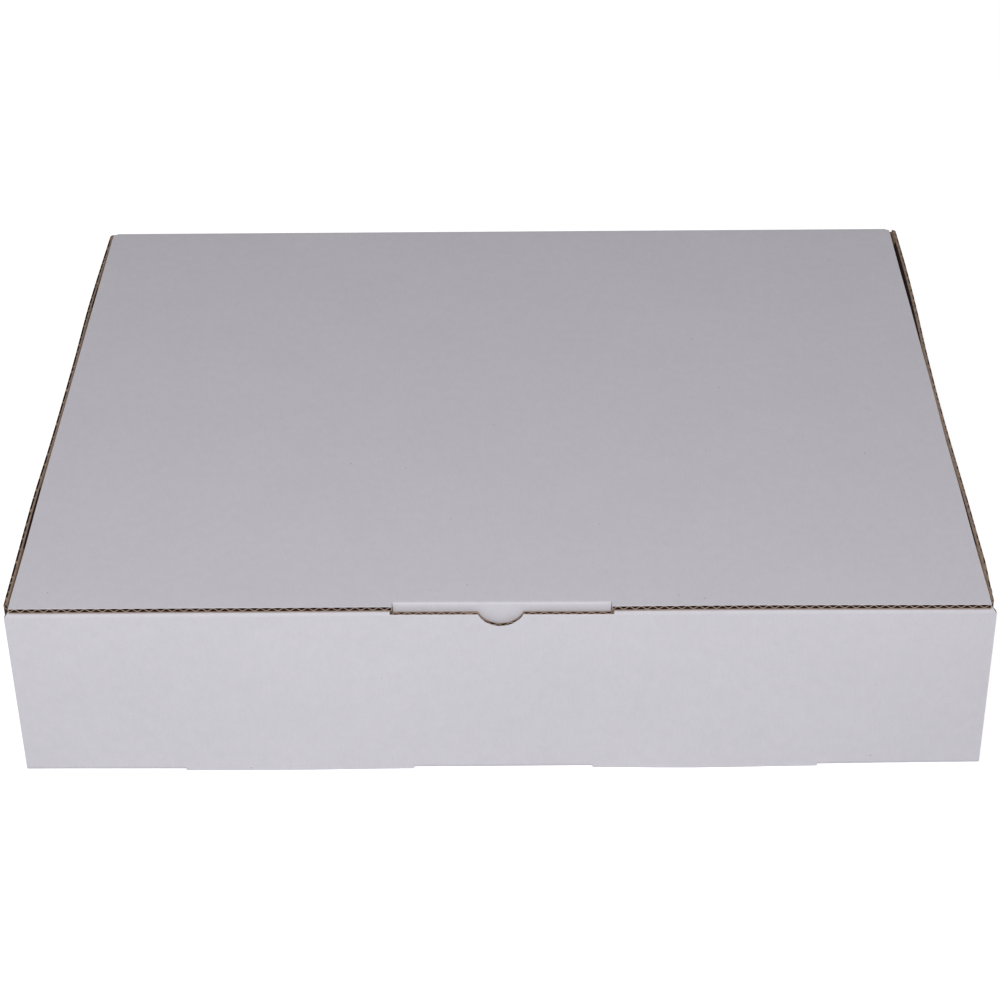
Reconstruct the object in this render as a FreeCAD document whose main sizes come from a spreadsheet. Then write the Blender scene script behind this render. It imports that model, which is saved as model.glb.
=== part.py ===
import FreeCAD, Part
import math
import os
import Sketcher

# Mailer box of corrugated board, die-cut and folded from one sheet, standing closed.
# The frame: X runs along the front, Y from the front to the back, Z up from the table.
# The origin is the middle of the footprint, on the underside. All sizes are millimetres.

SIZES = [
    ("width", 530.0, "outside, over the side walls"),
    ("depth", 430.0, "outside, over the front and back walls"),
    ("height", 111.0, "outside, to the top of the lid"),
    ("board", 3.0, "thickness of the corrugated board"),
    ("crease_share", 0.95, "outside radius of a crease, as a share of the board"),
    ("layer_gap", 0.4, "air between two boards that lie side by side"),
    ("wall_pocket", 3.95, "clear width inside the double front wall"),
    ("lid_seat", 0.3, "air between the lid and the rolled top of the front wall"),
    ("lid_side_gap", 0.3, "air between the lid and each side wall"),
    ("lid_corner_inset", 0.4, "the lid's cut corners stand this far inside its folded edge"),
    ("lid_fold_radius", 1.2, "outside radius of the lid's flap and tongue creases, pressed sharp"),
    ("hinge_slit", 0.4, "height of the slit between lid and back wall at the hinge crease"),
    ("hinge_corner_x", 2.4, "cut corner of the lid at the hinge crease, along the crease"),
    ("hinge_corner_y", 3.6, "cut corner of the lid at the hinge crease, along the depth"),
    ("tongue_width", 117.5, "the lid's tuck tongue"),
    ("tongue_drop", 20.0, "from the lid's top down to the end of the tongue"),
    ("tongue_gap", 0.25, "air between the tongue and the outer front wall"),
    ("tongue_slit", 0.6, "knife cut between the tongue and the lid at each end"),
    ("tongue_corner", 8.0, "radius of the tongue's lower corners"),
    ("mouth_play", 1.6, "the mouth in the front wall is longer than the tongue, at each end"),
    ("mouth_drop", 2.2, "cut edge of the outer front wall at the mouth, below the lid"),
    ("thumb_width", 24.6, "thumb notch in that edge"),
    ("thumb_depth", 7.7, "thumb notch in that edge"),
    ("front_corner_x", 2.4, "cut upper corner of the outer front wall, along the wall"),
    ("front_corner_z", 3.0, "cut upper corner of the outer front wall, up the wall"),
    ("tab_start", 50.5, "from the middle of the box to each lock tab"),
    ("tab_width", 124.0, "lock tab of the inner front wall"),
    ("tab_corner", 4.0, "cut corner of a lock tab"),
    ("tab_lift", 0.4, "lower end of a lock tab above the table"),
    ("slot_play", 0.5, "air round a lock tab in its slot"),
    ("corner_flap_length", 95.0, "flaps of the side walls behind the front and back walls"),
    ("corner_flap_radius", 10.0, "free corners of those flaps"),
    ("dust_flap_drop", 50.0, "from the lid's top down to the end of a dust flap"),
    ("dust_flap_front", 0.8, "air between a dust flap and the front corner flap"),
    ("dust_flap_back", 2.6, "air between a dust flap and the back corner flap"),
    ("dust_flap_slant", 12.0, "the dust flap's ends lean in by this much"),
    ("dust_flap_corner", 14.0, "radius of a dust flap's lower corners"),
    ("flute_pitch", 6.2, "from one flute of the board to the next"),
    ("flute_depth", 5.0, "how far the flutes stand open behind a cut edge"),
    ("paper", 0.3, "thickness of the liners and of the fluting between them"),
    ("groove_width", 0.9, "flute that lies open along the top edge of a side wall"),
    ("groove_depth", 1.2, "flute that lies open along the top edge of a side wall"),
]


class Size:
    # A length that carries its value and the formula that gives it from the sheet.
    def __init__(self, value, formula):
        self.value = value
        self.formula = formula

    def join(self, sign, other, value):
        if isinstance(other, Size):
            return Size(value, "(%s %s %s)" % (self.formula, sign, other.formula))
        return Size(value, "(%s %s %r)" % (self.formula, sign, other))

    def __add__(self, other):
        return self.join("+", other, self.value + number(other))

    def __sub__(self, other):
        return self.join("-", other, self.value - number(other))

    def __mul__(self, other):
        return self.join("*", other, self.value * number(other))

    def __truediv__(self, other):
        return self.join("/", other, self.value / number(other))

    def __neg__(self):
        return self * -1


def number(item):
    return item.value if isinstance(item, Size) else item


def root(size):
    return Size(math.sqrt(size.value), "sqrt(%s)" % size.formula)


def whole(size):
    return Size(math.floor(size.value), "floor(%s)" % size.formula)


doc = FreeCAD.newDocument("mailer_box")
sheet = doc.addObject("Spreadsheet::Sheet", "sizes")
size = {}
for row, (alias, value, note) in enumerate(SIZES, start=1):
    sheet.set("A%d" % row, alias)
    sheet.set("B%d" % row, str(value))
    sheet.set("C%d" % row, note)
    sheet.setAlias("B%d" % row, alias)
    size[alias] = Size(value, "sizes." + alias)
doc.recompute()

board = size["board"]
gap = size["layer_gap"]
crease = board * size["crease_share"]
height = size["height"]

# planes of the outer faces
side = size["width"] / 2
front = -size["depth"] / 2
back = size["depth"] / 2

# the double front wall, from its face inwards
front_inside = front + board
inner_wall = front_inside + size["wall_pocket"]
inner_wall_back = inner_wall + board
roll_top = height - board - size["lid_seat"]

# where the side walls start and end, between the front and back walls
side_front = front_inside + gap
side_back = back - board - gap
front_flap_back = side_front + board
back_flap_front = side_back - board
front_flap_top = roll_top - board - gap
floor_clear = board + gap

# the lid and what hangs from it
lid_under = height - board
lid_side = side - board - size["lid_side_gap"]
lid_corner_side = lid_side - size["lid_corner_inset"]
crease_end = lid_corner_side - size["hinge_corner_x"]
tongue_side = size["tongue_width"] / 2
tongue_face = front_inside + size["tongue_gap"]
inner_side = lid_side - board - gap
mouth_side = tongue_side + size["mouth_play"]
mouth_edge = lid_under - size["mouth_drop"]
slit = size["hinge_slit"] / 2


def origin_item(body, role):
    for feature in body.Origin.OriginFeatures:
        if feature.Role == role:
            return feature
    raise ValueError("no origin item " + role)


def pin(sketch, kind, axis, place, target):
    # Holds one coordinate of a point: on the axis itself, or at a length from the origin.
    if number(target) == 0:
        sketch.addConstraint(Sketcher.Constraint("PointOnObject", place[0], place[1], axis))
        return
    index = sketch.addConstraint(Sketcher.Constraint(kind, -1, 1, place[0], place[1], number(target)))
    if isinstance(target, Size):
        sketch.setExpression("Constraints[%d]" % index, target.formula)


def arc_between(start, end, radius):
    # The shorter arc from start to end; a positive radius turns anticlockwise.
    chord = end - start
    rise = math.sqrt(max(radius * radius - chord.Length ** 2 / 4, 0))
    left = FreeCAD.Vector(-chord.y, chord.x, 0).normalize()
    centre = start + chord * 0.5 + left * math.copysign(rise, radius)
    first, last = (start, end) if radius > 0 else (end, start)
    angles = [math.atan2(point.y - centre.y, point.x - centre.x) for point in (first, last)]
    circle = Part.Circle(centre, FreeCAD.Vector(0, 0, 1), abs(radius))
    return Part.ArcOfCircle(circle, angles[0], angles[1])


def draw(sketch, points):
    # Closed outline. A point is (x, y), or (x, y, radius) where an arc leads to it.
    places = [FreeCAD.Vector(number(point[0]), number(point[1]), 0) for point in points]
    ends = []
    for index, point in enumerate(points):
        start = places[index - 1]
        end = places[index]
        if len(point) == 2:
            edge = sketch.addGeometry(Part.LineSegment(start, end), False)
            ends.append((edge, 1, 2))
        else:
            edge = sketch.addGeometry(arc_between(start, end, number(point[2])), False)
            ends.append((edge, 1, 2) if number(point[2]) > 0 else (edge, 2, 1))
    for index, (edge, first, last) in enumerate(ends):
        following = ends[(index + 1) % len(ends)]
        sketch.addConstraint(Sketcher.Constraint("Coincident", edge, last, following[0], following[1]))
    for (edge, first, last), point in zip(ends, points):
        pin(sketch, "DistanceX", -2, (edge, last), point[0])
        pin(sketch, "DistanceY", -1, (edge, last), point[1])
        if len(point) == 3:
            radius = point[2] if number(point[2]) > 0 else -point[2]
            index = sketch.addConstraint(Sketcher.Constraint("Radius", edge, number(radius)))
            sketch.setExpression("Constraints[%d]" % index, radius.formula)


def prism(body, name, plane, outlines, low, high, cut=False):
    # A pad or pocket of closed outlines, from low to high along the plane's world axis.
    middle = (low + high) / 2
    if plane == "XZ_Plane":
        middle = -middle
    before = body.Shape.Volume if cut else 0
    sketch = body.newObject("Sketcher::SketchObject", name + "_outline")
    sketch.AttachmentSupport = [(origin_item(body, plane), "")]
    sketch.MapMode = "FlatFace"
    sketch.setExpression("AttachmentOffset.Base.z", middle.formula)
    for points in outlines:
        draw(sketch, points)
    feature = body.newObject("PartDesign::Pocket" if cut else "PartDesign::Pad", name)
    feature.Profile = sketch
    feature.SideType = "Symmetric"
    feature.setExpression("Length", (high - low).formula)
    doc.recompute()
    if cut and not body.Shape.Volume < before:
        raise ValueError(name + " cuts nothing")
    return feature


def box_outline(x_low, x_high, y_low, y_high):
    return [(x_low, y_low), (x_high, y_low), (x_high, y_high), (x_low, y_high)]


def both_ends(outline):
    # An outline on the right, and its mirror image on the left.
    # The mirrored run starts one point earlier, so that each arc leads to the same end.
    mirrored = []
    for index in range(len(outline)):
        point = outline[-1 - index]
        arc = outline[-index] if index else outline[0]
        mirrored.append((-point[0], point[1]) + tuple(arc[2:]))
    return [outline, mirrored]


def open_flutes(body, name, plane, side_reach, face, low, high):
    # The open ends of the flutes in a cut edge that runs along X, in a board whose lower or
    # outer face is given. One flute points up and the next one down, and the pair repeats.
    pitch = size["flute_pitch"]
    half = pitch / 2 - size["paper"] * 1.5
    count = whole((side_reach - half) * 2 / pitch + 0.5)
    run = (count - 1) * pitch
    start = -(run + pitch / 2) / 2
    near = face + size["paper"]
    far = face + board - size["paper"]
    pair = [
        [(start - half, far), (start, near), (start + half, far)],
        [(start + pitch / 2 - half, near), (start + pitch / 2 + half, near), (start + pitch / 2, far)],
    ]
    ends = prism(body, name, plane, pair, low, high, cut=True)
    row = body.newObject("PartDesign::LinearPattern", name + "_row")
    row.Originals = [ends]
    row.Direction = (origin_item(body, "X_Axis"), [""])
    row.setExpression("Length", run.formula)
    row.setExpression("Occurrences", count.formula)
    body.Tip = row
    doc.recompute()


def make_tray():
    tray = doc.addObject("PartDesign::Body", "tray")
    tray.Label = "tray"

    # bottom and side walls, one channel
    prism(tray, "trough", "XZ_Plane", [[
        (side, height), (side - board, height), (side - board, board), (board - side, board),
        (board - side, height), (-side, height), (-side, crease), (crease - side, 0, crease),
        (side - crease, 0), (side, crease, crease),
    ]], side_front, side_back)
    prism(tray, "bottom_ends", "XY_Plane",
          [box_outline(board - side, side - board, front + crease, back - crease)],
          board * 0, board)

    # outer front wall, creased at the bottom and rolled over at the top
    prism(tray, "front_wall", "YZ_Plane", [[
        (front_inside, 0), (front_inside, roll_top), (front + crease, roll_top),
        (front, roll_top - crease, crease), (front, crease), (front + crease, 0, crease),
    ]], -side, side)
    prism(tray, "roll_over", "YZ_Plane", [[
        (front + crease, roll_top - board), (inner_wall, roll_top - board), (inner_wall, floor_clear),
        (inner_wall_back, floor_clear), (inner_wall_back, roll_top - crease),
        (inner_wall_back - crease, roll_top, crease), (front + crease, roll_top),
    ]], -inner_side, inner_side)

    # back wall up to the hinge crease, mitred there against the lid
    reach = root(crease * crease * 2 - slit * slit)
    prism(tray, "back_wall", "YZ_Plane", [[
        (back - board, 0), (back - crease, 0), (back, crease, crease), (back, height - crease),
        (back - crease + (slit + reach) / 2, height - crease + (reach - slit) / 2, crease),
        (back - board, lid_under - slit),
    ]], -side, side)
    prism(tray, "crease_ends", "XZ_Plane",
          both_ends(box_outline(crease_end, side + board, lid_under - size["lid_seat"], height + board)),
          side_back + gap / 2, back + board, cut=True)

    # corner flaps of the side walls, behind the front wall and behind the back wall
    flap_end = side - size["corner_flap_length"]
    radius = size["corner_flap_radius"]
    for name, top, near, far in (
        ("front_corner_flaps", front_flap_top, side_front, front_flap_back),
        ("back_corner_flaps", lid_under - size["lid_seat"], back_flap_front, side_back),
    ):
        flap = [
            (side - board / 2, floor_clear), (side - board / 2, top), (flap_end + radius, top),
            (flap_end, top - radius, radius), (flap_end, floor_clear + radius),
            (flap_end + radius, floor_clear, radius),
        ]
        prism(tray, name, "XZ_Plane", both_ends(flap), near, far)

    # the upright creases of those flaps are round outside; above the front flap, the side wall
    # runs on straight to a square end
    past = board / 3
    front_round = [
        (side - crease, side_front - gap / 2), (side + past, side_front - gap / 2),
        (side + past, side_front + crease), (side, side_front + crease),
        (side - crease, side_front, -crease),
    ]
    back_round = [
        (side - crease, side_back), (side, side_back - crease, -crease),
        (side + past, side_back - crease), (side + past, side_back + gap / 2),
        (side - crease, side_back + gap / 2),
    ]
    prism(tray, "front_upright_creases", "XY_Plane", both_ends(front_round), crease, front_flap_top,
          cut=True)
    prism(tray, "back_upright_creases", "XY_Plane", both_ends(back_round), crease, height + past,
          cut=True)

    # upper corners of the outer front wall
    corner = [
        (side - size["front_corner_x"], roll_top), (side, roll_top - size["front_corner_z"]),
        (side + past, roll_top - size["front_corner_z"]), (side + past, roll_top + past),
        (side - size["front_corner_x"], roll_top + past),
    ]
    prism(tray, "front_corners", "XZ_Plane", both_ends(corner), front - past, front_inside + gap / 2,
          cut=True)

    # lock tabs of the inner wall in their slots; beside a slot the outer wall ends in a cut edge
    tab_end = size["tab_start"] + size["tab_width"]
    slot_start = size["tab_start"] - size["slot_play"]
    slot_end = tab_end + size["slot_play"]
    prism(tray, "lock_slots", "XY_Plane",
          both_ends(box_outline(slot_start, slot_end, front_inside, inner_wall_back + size["slot_play"])),
          -past, board + gap / 2, cut=True)
    prism(tray, "cut_lower_edges", "XY_Plane",
          both_ends(box_outline(slot_start, slot_end, front, front_inside)),
          board * 0, board)
    tab_corner = size["tab_corner"]
    prism(tray, "lock_tabs", "XZ_Plane", both_ends([
        (size["tab_start"] + tab_corner, size["tab_lift"]), (tab_end - tab_corner, size["tab_lift"]),
        (tab_end, size["tab_lift"] + tab_corner), (tab_end, floor_clear + tab_corner),
        (size["tab_start"], floor_clear + tab_corner), (size["tab_start"], size["tab_lift"] + tab_corner),
    ]), inner_wall, inner_wall_back)

    # mouth for the tongue, with the thumb notch in its cut edge
    prism(tray, "mouth", "YZ_Plane", [[
        (front - past, mouth_edge), (front_inside, mouth_edge), (front_inside, roll_top - board - past),
        (inner_wall, roll_top - board - past), (inner_wall, height), (front - past, height),
    ]], -mouth_side, mouth_side, cut=True)
    half_thumb = size["thumb_width"] / 2
    deep = size["thumb_depth"]
    thumb_radius = (half_thumb * half_thumb + deep * deep) / (deep * 2)
    prism(tray, "thumb_notch", "XZ_Plane", [[
        (-half_thumb, mouth_edge), (board * 0, mouth_edge - deep, thumb_radius),
        (half_thumb, mouth_edge, thumb_radius), (half_thumb, mouth_edge + past),
        (-half_thumb, mouth_edge + past),
    ]], front - past, front_inside + gap, cut=True)
    open_flutes(tray, "mouth_flutes", "XY_Plane", mouth_side - size["paper"], front,
                mouth_edge - deep - size["flute_depth"], mouth_edge + past)

    # the side walls are cut along a flute
    groove = box_outline(side - size["paper"] - size["groove_width"], side - size["paper"],
                         height - size["groove_depth"], height + past)
    prism(tray, "side_grooves", "XZ_Plane", both_ends(groove),
          side_front + crease, side_back - crease, cut=True)
    return tray


def make_lid():
    lid = doc.addObject("PartDesign::Body", "lid")
    lid.Label = "lid"

    # panel, cut square at the front and mitred along the hinge crease
    reach = root(crease * crease * 2 - slit * slit)
    prism(lid, "panel", "YZ_Plane", [[
        (front, lid_under), (back - board - slit, lid_under),
        (back - crease + (reach - slit) / 2, height - crease + (reach + slit) / 2),
        (back - crease, height, crease), (front, height),
    ]], -lid_corner_side, lid_corner_side)
    past = board / 3
    open_flutes(lid, "front_flutes", "XZ_Plane", lid_corner_side - size["paper"], lid_under,
                front - past, front + size["flute_depth"])
    prism(lid, "hinge_corners", "XY_Plane", both_ends([
        (crease_end, back + past), (crease_end, back),
        (lid_corner_side, back - size["hinge_corner_y"]),
        (lid_side, back - size["hinge_corner_y"]), (lid_side, back + past),
    ]), lid_under - past, height + past, cut=True)

    # dust flaps, folded down inside the side walls
    near = front_flap_back + size["dust_flap_front"]
    far = back_flap_front - size["dust_flap_back"]
    low = height - size["dust_flap_drop"]
    lean = size["dust_flap_slant"]
    radius = size["dust_flap_corner"]
    flap = [
        (near, height), (near, lid_under), (near + lean, low + radius),
        (near + lean + radius, low, radius), (far - lean - radius, low),
        (far - lean, low + radius, radius), (far, lid_under), (far, height),
    ]
    prism(lid, "right_dust_flap", "YZ_Plane", [flap], lid_side - board, lid_side)
    prism(lid, "left_dust_flap", "YZ_Plane", [flap], -lid_side, board - lid_side)
    radius = size["lid_fold_radius"]
    prism(lid, "side_creases", "XZ_Plane", both_ends([
        (lid_side - radius, height), (lid_side, height - radius, -radius),
        (lid_side + past, height - radius), (lid_side + past, height + past),
        (lid_side - radius, height + past),
    ]), near, far, cut=True)

    # tongue, folded down into the double front wall; it leans back as far as its end swings out
    swing = size["tongue_drop"] * size["tongue_drop"] / (size["depth"] * 2)
    tongue_end = height - size["tongue_drop"]
    fold_radius = size["lid_fold_radius"]
    crease_start = tongue_face + fold_radius
    opening = tongue_side + size["tongue_slit"]
    prism(lid, "tongue_opening", "XY_Plane", [box_outline(-opening, opening, front - past, crease_start)],
          lid_under - past, height + past, cut=True)
    prism(lid, "tongue", "YZ_Plane", [[
        (crease_start, height), (tongue_face, height - fold_radius, fold_radius),
        (tongue_face + swing, tongue_end), (tongue_face + swing + board, tongue_end),
        (tongue_face + board, lid_under), (crease_start + board, lid_under),
        (crease_start + board, height),
    ]], -tongue_side, tongue_side)
    radius = size["tongue_corner"]
    prism(lid, "tongue_corners", "XZ_Plane", both_ends([
        (tongue_side - radius, tongue_end), (tongue_side, tongue_end + radius, radius),
        (tongue_side + past, tongue_end + radius), (tongue_side + past, tongue_end - past),
        (tongue_side - radius, tongue_end - past),
    ]), front_inside, inner_wall_back, cut=True)
    return lid


def check(body):
    solid = body.Shape
    if solid.isNull() or not solid.isValid() or len(solid.Solids) != 1:
        raise ValueError("%s is not one valid solid" % body.Label)
    print("%s: %.1f cm3, %d faces" % (body.Label, solid.Volume / 1000, len(solid.Faces)))


parts = [make_tray(), make_lid()]
doc.recompute()
for item in doc.Objects:
    if "Invalid" in item.State or "Error" in item.State:
        raise ValueError("%s failed" % item.Label)
os.makedirs("parts", exist_ok=True)
for body in parts:
    check(body)
    body.Shape.exportStep("parts/%s.step" % body.Label)
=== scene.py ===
import math
import random

import bpy
from mathutils import Matrix, Vector


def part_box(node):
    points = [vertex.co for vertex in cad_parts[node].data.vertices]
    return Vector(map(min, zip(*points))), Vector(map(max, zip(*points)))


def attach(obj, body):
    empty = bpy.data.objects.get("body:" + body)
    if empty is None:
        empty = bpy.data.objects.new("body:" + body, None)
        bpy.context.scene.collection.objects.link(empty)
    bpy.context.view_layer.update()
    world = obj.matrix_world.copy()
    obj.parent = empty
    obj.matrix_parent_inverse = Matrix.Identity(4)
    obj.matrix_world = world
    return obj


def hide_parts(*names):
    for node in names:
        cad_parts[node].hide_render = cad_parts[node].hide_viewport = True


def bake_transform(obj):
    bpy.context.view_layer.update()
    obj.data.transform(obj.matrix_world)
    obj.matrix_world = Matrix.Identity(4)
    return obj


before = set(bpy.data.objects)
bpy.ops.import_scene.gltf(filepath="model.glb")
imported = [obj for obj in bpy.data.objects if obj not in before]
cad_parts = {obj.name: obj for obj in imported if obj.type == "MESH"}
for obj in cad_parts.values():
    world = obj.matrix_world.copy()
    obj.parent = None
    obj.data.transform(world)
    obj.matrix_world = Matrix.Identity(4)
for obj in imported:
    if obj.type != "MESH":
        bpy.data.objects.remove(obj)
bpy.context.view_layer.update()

mm = 0.001
near = 0.06 * mm  # two places this close are the same place
hair = near / 100  # a point this close to a knife line lies on it
weld = 0.004 * mm  # corners this close become one
facing = 0.9  # a face looks along an axis when its normal reaches this far along it

trayLow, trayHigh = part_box("tray")
lidLow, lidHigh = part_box("lid")

board = {
    "thick": 3.0 * mm,
    "liner": 0.38 * mm,
    "fluting": 0.42 * mm,
    "flutePitch": 6.2 * mm,
    "air": 0.4 * mm,  # room between panels that lie against one another
    "foldSteps": 7,
    "cornerSteps": 6,
    "smoothAngle": 28,
}
thick = board["thick"]
air = board["air"]

half = trayHigh.x
front = trayLow.y
back = trayHigh.y
top = trayHigh.z
lidSide = lidHigh.x
lidUnder = top - thick
frontInside = front + thick


def deselectAll():
    if bpy.context.mode != "OBJECT":
        bpy.ops.object.mode_set(mode="OBJECT")
    bpy.ops.object.select_all(action="DESELECT")


def settle(piece):
    # object mode, with this piece alone selected and active
    deselectAll()
    piece.select_set(True)
    bpy.context.view_layer.objects.active = piece


def addBlock(name, low, high):
    deselectAll()
    low, high = Vector(low), Vector(high)
    bpy.ops.mesh.primitive_cube_add(size=1, location=(low + high) / 2, scale=high - low)
    piece = bpy.context.object
    piece.name = name
    bpy.ops.object.transform_apply(location=True, rotation=True, scale=True)
    return piece


def openPiece(piece, kind="FACE", action="SELECT"):
    # edit mode, with all or nothing of this piece selected
    settle(piece)
    bpy.ops.object.mode_set(mode="EDIT")
    bpy.ops.mesh.select_mode(type=kind)
    bpy.ops.mesh.select_all(action=action)


def closePiece():
    bpy.ops.object.mode_set(mode="OBJECT")


def choose(piece, kind, parts, wanted):
    # leaves edit mode open with the wanted faces or edges selected
    openPiece(piece, kind, "DESELECT")
    closePiece()
    found = 0
    for part in getattr(piece.data, parts):
        part.select = wanted(part)
        found += part.select
    if not found:
        raise ValueError("nothing found on " + piece.name)
    bpy.ops.object.mode_set(mode="EDIT")


def chooseFaces(piece, wanted):
    # the faces that pass wanted(centre, normal)
    choose(piece, "FACE", "polygons", lambda face: wanted(face.center, face.normal))


def chooseEdges(piece, wanted):
    # the edges that pass wanted(middle, direction)
    def passes(edge):
        start, end = (piece.data.vertices[corner].co for corner in edge.vertices)
        return wanted((start + end) / 2, end - start)

    choose(piece, "EDGE", "edges", passes)


def mergeDoubles(piece):
    openPiece(piece)
    bpy.ops.mesh.remove_doubles(threshold=weld)
    closePiece()


def slicePiece(piece, axis, places):
    # rings of edges across the whole piece, as a knife would score it
    direction = Vector((axis == "x", axis == "y", axis == "z"))
    openPiece(piece)
    for place in places:
        bpy.ops.mesh.select_all(action="SELECT")
        bpy.ops.mesh.bisect(plane_co=direction * place, plane_no=direction, threshold=hair)
    closePiece()


def scoreFaces(piece, wanted, axis, place):
    # one knife line, across the wanted faces alone
    direction = Vector((axis == "x", axis == "y", axis == "z"))
    chooseFaces(piece, wanted)
    bpy.ops.mesh.bisect(plane_co=direction * place, plane_no=direction, threshold=hair)
    closePiece()


def trimPiece(piece, point, towards):
    # cuts the piece at a plane and keeps the side that towards points to
    openPiece(piece)
    bpy.ops.mesh.bisect(plane_co=point, plane_no=Vector(towards).normalized(), clear_inner=True,
                        use_fill=True, threshold=hair)
    closePiece()


def fold(piece, wanted, pivot, axis, degrees=90):
    # turns a cut end about the inner corner of the crease
    chooseFaces(piece, wanted)
    steps = max(2, round(board["foldSteps"] * degrees / 90))
    bpy.ops.mesh.spin(steps=steps, angle=math.radians(degrees), center=pivot, axis=axis)
    mergeDoubles(piece)


def pull(piece, wanted, offset):
    chooseFaces(piece, wanted)
    bpy.ops.mesh.extrude_region_move(TRANSFORM_OT_translate={"value": offset})
    closePiece()


def shift(piece, wanted, offset):
    chooseFaces(piece, wanted)
    bpy.ops.transform.translate(value=offset)
    closePiece()


def shiftEdges(piece, wanted, offset, **settings):
    chooseEdges(piece, wanted)
    bpy.ops.transform.translate(value=offset, **settings)
    closePiece()


def roundCorners(piece, wanted, radius, steps=board["cornerSteps"]):
    chooseEdges(piece, wanted)
    bpy.ops.mesh.bevel(offset=radius, offset_type="OFFSET", segments=steps, affect="EDGES")
    closePiece()


def useModifier(piece, kind, **settings):
    settle(piece)
    modifier = piece.modifiers.new(kind.title(), kind)
    for name, value in settings.items():
        setattr(modifier, name, value)
    bpy.ops.object.modifier_apply(modifier=modifier.name)


def carve(piece, cutter):
    useModifier(piece, "BOOLEAN", operation="DIFFERENCE", solver="EXACT", object=cutter)


def dropPiece(piece):
    bpy.data.objects.remove(piece, do_unlink=True)


def same(a, b):
    return abs(a - b) < near


# tray: the bottom, folded up into its walls

tray = {
    "slotStart": 50.0 * mm,
    "slotEnd": 175.0 * mm,
    "tabPlay": 0.5 * mm,
    "tabCorner": 4.0 * mm,
    "wallPocket": 3.95 * mm,  # between the two boards of the front wall
    "lidSeat": 0.3 * mm,
    "cornerFlap": 95.0 * mm,
    "flapRadius": 10.0 * mm,
    "flapSlit": 0.25 * mm,
    "frontCorner": (2.4 * mm, 3.0 * mm),
    "creaseEnd": 258.9 * mm,
    "hingeTurn": 41,  # degrees, on each side of the crease
}
rollTop = lidUnder - tray["lidSeat"]
innerWall = frontInside + tray["wallPocket"]
innerBack = innerWall + thick
innerSide = lidSide - thick - air
slotBack = innerBack + tray["tabPlay"]
wallEnd = half - thick
sideRun = back - thick - air - thick  # the side walls run from -sideRun to sideRun
floorClear = thick + air
frontFlapTop = rollTop - thick - air
hingePivot = (0, back - thick, lidUnder)
hingeTurn = math.radians(tray["hingeTurn"])
creaseStop = (0, hingePivot[1] + thick * math.cos(hingeTurn), hingePivot[2] + thick * math.sin(hingeTurn))


def betweenSlots(x):
    return not tray["slotStart"] < abs(x) < tray["slotEnd"]


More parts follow.
